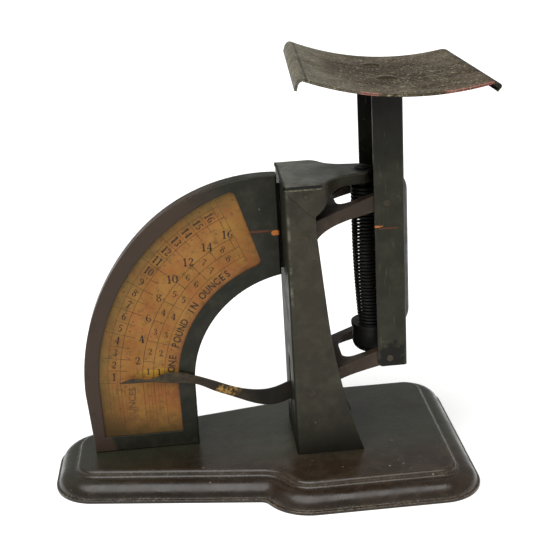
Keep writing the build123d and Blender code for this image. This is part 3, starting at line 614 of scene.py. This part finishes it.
# --- mesh helpers ---------------------------------------------------------------------
def new_piece(name, mesh_maker, look, body="stand"):
    """Makes a mesh object with a function that fills a bmesh, and lets it ride on a body."""
    mesh = bpy.data.meshes.new(name)
    made = bmesh.new()
    mesh_maker(made)
    bmesh.ops.recalc_face_normals(made, faces=made.faces)
    made.to_mesh(mesh)
    made.free()
    mesh.materials.append(look)
    piece = bpy.data.objects.new(name, mesh)
    bpy.context.collection.objects.link(piece)
    if body:
        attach(piece, body)
    return piece


# --- main spring ----------------------------------------------------------------------
SPRING_TURNS = 46
SPRING_WIRE = 0.62 * MM
SPRING_COIL = 4.78 * MM
SPRING_BOW = 1.0 * MM
SPRING_LEAN = 0.3 * MM
STEPS_PER_TURN = 28
WIRE_SIDES = 8


def spring_ends():
    """Upper and lower end of the spring's axis."""
    low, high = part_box("main_spring")
    plug, cup = middle("upper_spring_plug"), middle("lower_spring_cup")
    return Vector((plug.x, 0, high.z - SPRING_WIRE)), Vector((cup.x - SPRING_LEAN, 0, low.z + SPRING_WIRE))


def coil(made):
    """Close-wound extension spring, with a slight bow towards the post half way down."""
    top, bottom = spring_ends()
    run = bottom - top
    count = SPRING_TURNS * STEPS_PER_TURN
    rings = []
    for i in range(count + 1):
        share = i / count
        turn = 2 * math.pi * SPRING_TURNS * share
        out = Vector((math.cos(turn), math.sin(turn), 0))
        centre = top + run * share + Vector((-SPRING_BOW * math.sin(math.pi * share), 0, 0))
        ring = []
        for j in range(WIRE_SIDES):
            angle = 2 * math.pi * j / WIRE_SIDES
            spot = out * (SPRING_COIL + SPRING_WIRE * math.cos(angle))
            spot.z += SPRING_WIRE * math.sin(angle)
            ring.append(made.verts.new(centre + spot))
        rings.append(ring)
    for first, second in zip(rings, rings[1:]):
        for j in range(WIRE_SIDES):
            k = (j + 1) % WIRE_SIDES
            made.faces.new((first[j], first[k], second[k], second[j]))
    made.faces.new(rings[0])
    made.faces.new(rings[-1][::-1])
    for face in made.faces:
        face.smooth = True


def main_spring():
    """The coil between the stand and the travelling end, made as one fixed mesh in the CAD spring's place."""
    piece = new_piece("spring_coil", coil, BLACK_STEEL, body=None)
    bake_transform(piece)
    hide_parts("main_spring")


# --- dial printing --------------------------------------------------------------------
PRINT_Y = CARD_FACE - 0.03 * MM
ZERO_ANGLE = 2.8
OUNCE_ANGLE = 3.943
CAPACITY = 16
RING_OUTER, RING_MAIN, RING_MID, RING_INNER, RING_LAST = (r * MM for r in (88.0, 82.6, 72.7, 68.0, 63.1))
RULE = 0.22 * MM
FINE_RULE = 0.16 * MM
EVEN_TICK, ODD_TICK, OUTER_TICK, END_TICK = (length * MM for length in (4.6, 3.2, 3.4, 3.0))
END_ANGLE = ZERO_ANGLE + OUNCE_ANGLE * (CAPACITY + 0.45)
LEG_BOTTOM = CARD_LOW.z + 5.5 * MM
LEG_RULE_RADII = [r * MM for r in (84.0, 86.4, 80.9, 70.9, 69.4, 66.2, 64.8)]
NUMBER_RING = 75.2 * MM
OUNCE_NUMBER = 3.6 * MM
OUTER_CELL_NUMBER = 3.5 * MM
INNER_CELL_NUMBER = 2.9 * MM
UNIT_WORD_RADIUS = 78.2 * MM
UNIT_WORD_UP = 11.5 * MM
CAPACITY_RING = 60.0 * MM
CAPACITY_START, CAPACITY_END = 8.0, 58.0


def dial_point(radius, degrees):
    """A point on the card at a dial angle, counted up from the -X direction."""
    angle = math.radians(degrees)
    return Vector((FULCRUM.x - radius * math.cos(angle), PRINT_Y, FULCRUM.z + radius * math.sin(angle)))


def ounce_angle(ounces):
    """Dial angle of a weight."""
    return ZERO_ANGLE + OUNCE_ANGLE * ounces


def ribbon(made, points, widths):
    """A flat strip along points on the card, with a width at each."""
    pairs = []
    for i, point in enumerate(points):
        ahead = points[min(i + 1, len(points) - 1)] - points[max(i - 1, 0)]
        side = Vector((-ahead.z, 0, ahead.x)).normalized() * widths[i] / 2
        pairs.append((made.verts.new(point + side), made.verts.new(point - side)))
    for (a, b), (c, d) in zip(pairs, pairs[1:]):
        made.faces.new((a, b, d, c))


def rule(made, start, end, width):
    """A straight printed rule."""
    ribbon(made, [start, end], [width, width])


def ring_rule(made, radius, start, end, width):
    """A printed arc from one dial angle to another."""
    steps = max(4, int(end - start))
    points = [dial_point(radius, start + (end - start) * i / steps) for i in range(steps + 1)]
    ribbon(made, points, [width] * len(points))


def radial_rule(made, inner, outer, degrees, width):
    """A printed rule that points at the fulcrum."""
    rule(made, dial_point(inner, degrees), dial_point(outer, degrees), width)


def dial_rules(made):
    """Rings, ounce ticks, the small cells' rules and the plain legs below zero."""
    for radius, width in ((RING_OUTER, FINE_RULE), (RING_MAIN, RULE), (RING_MID, RULE),
                          (RING_INNER, RULE), (RING_LAST, FINE_RULE)):
        ring_rule(made, radius, ZERO_ANGLE, END_ANGLE, width)
        top = dial_point(radius, ZERO_ANGLE)
        rule(made, top, Vector((top.x, PRINT_Y, LEG_BOTTOM)), width * 0.8)
    for ounces in range(CAPACITY + 1):
        angle = ounce_angle(ounces)
        reach = EVEN_TICK if ounces % 2 == 0 and ounces else ODD_TICK
        radial_rule(made, RING_MAIN - reach, RING_MAIN, angle, RULE)
        radial_rule(made, RING_MAIN, RING_OUTER, angle, FINE_RULE)
        if ounces % 2 == 0:
            radial_rule(made, RING_INNER, RING_MID, angle, RULE)
            radial_rule(made, RING_OUTER, RING_OUTER + OUTER_TICK, angle, FINE_RULE)
        if ounces % 4 == 0:
            radial_rule(made, RING_LAST, RING_INNER, angle, FINE_RULE)
    radial_rule(made, RING_LAST - END_TICK, RING_OUTER + END_TICK, END_ANGLE, FINE_RULE)
    for radius in LEG_RULE_RADII:
        top = dial_point(radius, ZERO_ANGLE)
        rule(made, top, Vector((top.x, PRINT_Y, LEG_BOTTOM + 4 * MM)), FINE_RULE * 0.6)


# Digits as pen strokes in a box DIGIT_WIDTH wide and 1 high: each point is x, y and the pen's width.
DIGITS = {
    "0": [[(0.31, 0.97, 0.05), (0.08, 0.75, 0.15), (0.06, 0.5, 0.17), (0.08, 0.25, 0.15), (0.31, 0.03, 0.05),
           (0.54, 0.25, 0.15), (0.56, 0.5, 0.17), (0.54, 0.75, 0.15), (0.31, 0.97, 0.05)]],
    "1": [[(0.1, 0.8, 0.06), (0.33, 0.97, 0.1)], [(0.34, 1.0, 0.17), (0.34, 0.0, 0.17)],
          [(0.12, 0.03, 0.08), (0.56, 0.03, 0.08)]],
    "2": [[(0.12, 0.7, 0.16), (0.12, 0.86, 0.09), (0.32, 0.97, 0.07), (0.5, 0.78, 0.16), (0.42, 0.52, 0.12),
           (0.2, 0.25, 0.07), (0.08, 0.1, 0.06)], [(0.08, 0.08, 0.15), (0.54, 0.08, 0.15)],
          [(0.55, 0.04, 0.07), (0.57, 0.24, 0.05)]],
    "3": [[(0.12, 0.8, 0.12), (0.3, 0.97, 0.06), (0.5, 0.77, 0.15), (0.28, 0.53, 0.06)],
          [(0.28, 0.53, 0.06), (0.53, 0.27, 0.16), (0.3, 0.03, 0.06), (0.1, 0.2, 0.13)]],
    "4": [[(0.42, 0.98, 0.06), (0.04, 0.3, 0.06)], [(0.02, 0.29, 0.08), (0.62, 0.29, 0.08)],
          [(0.43, 1.0, 0.16), (0.43, 0.0, 0.16)], [(0.24, 0.03, 0.07), (0.6, 0.03, 0.07)]],
    "5": [[(0.52, 0.93, 0.13), (0.14, 0.93, 0.1), (0.12, 0.55, 0.06)],
          [(0.12, 0.55, 0.06), (0.34, 0.62, 0.07), (0.53, 0.34, 0.16), (0.3, 0.03, 0.06), (0.09, 0.2, 0.12)]],
    "6": [[(0.5, 0.86, 0.11), (0.34, 0.97, 0.05), (0.1, 0.66, 0.13), (0.08, 0.34, 0.16), (0.31, 0.03, 0.05),
           (0.54, 0.3, 0.15), (0.33, 0.57, 0.05), (0.11, 0.42, 0.07)]],
    "7": [[(0.08, 0.75, 0.05), (0.1, 0.92, 0.08), (0.56, 0.92, 0.13)],
          [(0.54, 0.9, 0.06), (0.32, 0.45, 0.1), (0.28, 0.0, 0.16)]],
    "8": [[(0.31, 0.97, 0.05), (0.11, 0.78, 0.12), (0.31, 0.54, 0.08), (0.51, 0.78, 0.12),
           (0.31, 0.97, 0.05)],
          [(0.31, 0.55, 0.06), (0.07, 0.28, 0.15), (0.31, 0.03, 0.05), (0.55, 0.28, 0.15),
           (0.31, 0.55, 0.06)]],
    "9": [[(0.12, 0.14, 0.11), (0.28, 0.03, 0.05), (0.52, 0.34, 0.13), (0.54, 0.66, 0.16), (0.31, 0.97, 0.05),
           (0.08, 0.7, 0.15), (0.29, 0.43, 0.05), (0.51, 0.58, 0.07)]],
}
DIGIT_WIDTH = 0.62
DIGIT_STEP = 0.72
PEN_WEIGHT = 1.15


def smooth_stroke(points, steps=5):
    """A curve through x, y, width points, with steps points to each stretch."""
    if len(points) < 3:
        return points
    closed = points[0] == points[-1]
    count = len(points)
    made = []
    for i in range(count - 1):
        before = points[i - 1] if i else (points[-2] if closed else points[0])
        after = points[i + 2] if i + 2 < count else (points[1] if closed else points[-1])
        for j in range(steps):
            t = j / steps
            weights = (-t + 2 * t**2 - t**3, 2 - 5 * t**2 + 3 * t**3, t + 4 * t**2 - 3 * t**3, t**3 - t**2)
            spots = (before, points[i], points[i + 1], after)
            made.append(tuple(sum(w * p[k] for w, p in zip(weights, spots)) / 2 for k in range(3)))
    return made + [points[-1]]


def write_number(made, text, centre, height, turn=0.0, narrow=1.0):
    """Draws digits on the card, centred on a point and turned by degrees."""
    across = Vector((math.cos(math.radians(turn)), 0, math.sin(math.radians(turn))))
    up = Vector((-across.z, 0, across.x))
    width = (DIGIT_STEP * (len(text) - 1) + DIGIT_WIDTH) * height * narrow
    for i, letter in enumerate(text):
        corner = centre - across * width / 2 - up * height / 2 + across * (DIGIT_STEP * i * height * narrow)
        for stroke in DIGITS[letter]:
            line = smooth_stroke(stroke)
            points = [corner + across * (x * height * narrow) + up * (y * height) for x, y, _ in line]
            ribbon(made, points, [pen * PEN_WEIGHT * height for _, _, pen in line])


def dial_numbers(made):
    """The even ounces, upright between the main ring and the cells."""
    for ounces in range(2, CAPACITY + 1, 2):
        write_number(made, str(ounces), dial_point(NUMBER_RING, ounce_angle(ounces)), OUNCE_NUMBER)


def cell_numbers(made):
    """Small running numbers in the cells, turned with the dial."""
    outer_cells = (RING_MAIN + RING_OUTER) / 2
    middle_cells = (RING_INNER + RING_MID) / 2
    inner_cells = (RING_LAST + RING_INNER) / 2
    for ounces in range(1, CAPACITY + 1):
        angle = ounce_angle(ounces - 0.5)
        write_number(made, str(ounces), dial_point(outer_cells, angle), OUTER_CELL_NUMBER, -angle, 0.8)
    for i in range(CAPACITY // 2):
        angle = ounce_angle(2 * i + 1)
        write_number(made, str(i + 1), dial_point(middle_cells, angle), INNER_CELL_NUMBER, -angle * 0.4)
    for i in range(CAPACITY // 4):
        for part in (1, 3):
            angle = ounce_angle(4 * i + part)
            number = str(2 * i + part // 2 + 1)
            write_number(made, number, dial_point(inner_cells, angle), INNER_CELL_NUMBER, -angle * 0.4)


def flat_text(words, height, look, name, weight=0.05):
    """A flat mesh of generic words, centred on its origin. weight thickens the letters."""
    letters = bpy.data.curves.new(name, "FONT")
    letters.body = words
    letters.size = height * 1.4
    letters.align_x = "CENTER"
    letters.align_y = "CENTER"
    letters.resolution_u = 3
    letters.offset = height * weight
    shape = bpy.data.objects.new(name + "_curve", letters)
    bpy.context.collection.objects.link(shape)
    graph = bpy.context.evaluated_depsgraph_get()
    mesh = bpy.data.meshes.new_from_object(shape.evaluated_get(graph))
    bpy.data.objects.remove(shape)
    mesh.materials.clear()
    mesh.materials.append(look)
    piece = bpy.data.objects.new(name, mesh)
    bpy.context.collection.objects.link(piece)
    return piece


def stand_up(piece, spot, turn, narrow):
    """Stands flat lettering up on the card at a spot, turned by degrees in the card's plane."""
    upright = Matrix.Rotation(math.pi / 2, 4, "X") @ Matrix.Diagonal((narrow, 1, 1, 1))
    piece.data.transform(Matrix.Translation(spot) @ Matrix.Rotation(math.radians(turn), 4, "Y") @ upright)


def unit_word():
    """The unit's name on the plain leg, reading upwards."""
    piece = flat_text("OUNCES", 3.1 * MM, PALE_INK, "unit_word", 0.02)
    spot = dial_point(UNIT_WORD_RADIUS, 0)
    spot.z = LEG_BOTTOM + UNIT_WORD_UP
    stand_up(piece, spot, -84, 0.95)
    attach(piece, "stand")


def capacity_words():
    """Curved wording inside the last ring, one letter at a time."""
    words = "ONE POUND IN OUNCES"
    for i, letter in enumerate(words):
        if letter == " ":
            continue
        angle = CAPACITY_START + (CAPACITY_END - CAPACITY_START) * i / (len(words) - 1)
        piece = flat_text(letter, 3.2 * MM, INK, f"capacity_letter_{i:02d}", 0.035)
        stand_up(piece, dial_point(CAPACITY_RING, angle), angle - 90, 0.85)
        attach(piece, "stand")


def dial_print():
    """All the printing on the card."""
    for name, maker, look in (("dial_rules", dial_rules, RULE_INK), ("dial_numbers", dial_numbers, INK),
                              ("cell_numbers", cell_numbers, INK)):
        new_piece(name, maker, look)
    unit_word()
    capacity_words()


# --- studio ---------------------------------------------------------------------------
CAMERA_AT = Vector((BASE_MIDDLE.x - 19.129 * MM, BASE_MIDDLE.y - 441.938 * MM, BASE_LOW.z + 246.936 * MM))
CAMERA_YAW = 3.946
CAMERA_PITCH = 19.809
CAMERA_ROLL = -3.366
CAMERA_LENS = 71.13
SENSOR_WIDTH = 36
FLOOR_HALF = 8.0
FLOOR_GAP = 0.02 * MM


def camera():
    """Camera at the photograph's viewing angle."""
    data = bpy.data.cameras.new("studio_camera")
    data.lens = CAMERA_LENS
    data.sensor_width = SENSOR_WIDTH
    data.clip_start = 0.01
    data.clip_end = 20
    view = bpy.data.objects.new("studio_camera", data)
    turn = (Matrix.Rotation(math.radians(-CAMERA_YAW), 4, "Z")
            @ Matrix.Rotation(math.radians(90 - CAMERA_PITCH), 4, "X")
            @ Matrix.Rotation(math.radians(CAMERA_ROLL), 4, "Z"))
    view.matrix_world = Matrix.Translation(CAMERA_AT) @ turn
    bpy.context.collection.objects.link(view)
    bpy.context.scene.camera = view


def soft_sun(name, tilt_x, tilt_y, spread, power):
    """An even lamp from far above, spread over a wide part of the sky."""
    data = bpy.data.lights.new(name, "SUN")
    data.angle = math.radians(spread)
    data.energy = power
    lamp = bpy.data.objects.new(name, data)
    lamp.rotation_euler = (math.radians(tilt_x), math.radians(tilt_y), 0)
    bpy.context.collection.objects.link(lamp)


def floor_sheet(made):
    """One flat square."""
    bmesh.ops.create_grid(made, x_segments=1, y_segments=1, size=FLOOR_HALF)


def studio():
    """Plain pale floor, an even pale surround and a wide soft lamp overhead."""
    ground = new_piece("studio_floor", floor_sheet, pale_floor(), body=None)
    ground.location.z = BASE_LOW.z - FLOOR_GAP
    world = bpy.data.worlds.new("studio_surround")
    world.use_nodes = True
    sky = world.node_tree.nodes["Background"]
    sky.inputs["Color"].default_value = (1.0, 1.0, 1.0, 1.0)
    sky.inputs["Strength"].default_value = 0.42
    bpy.context.scene.world = world
    soft_sun("overhead_light", 20, -12, 55, 3.2)
    bpy.context.scene.view_settings.view_transform = "Standard"
    camera()


dress_nodes()
main_spring()
dial_print()
studio()
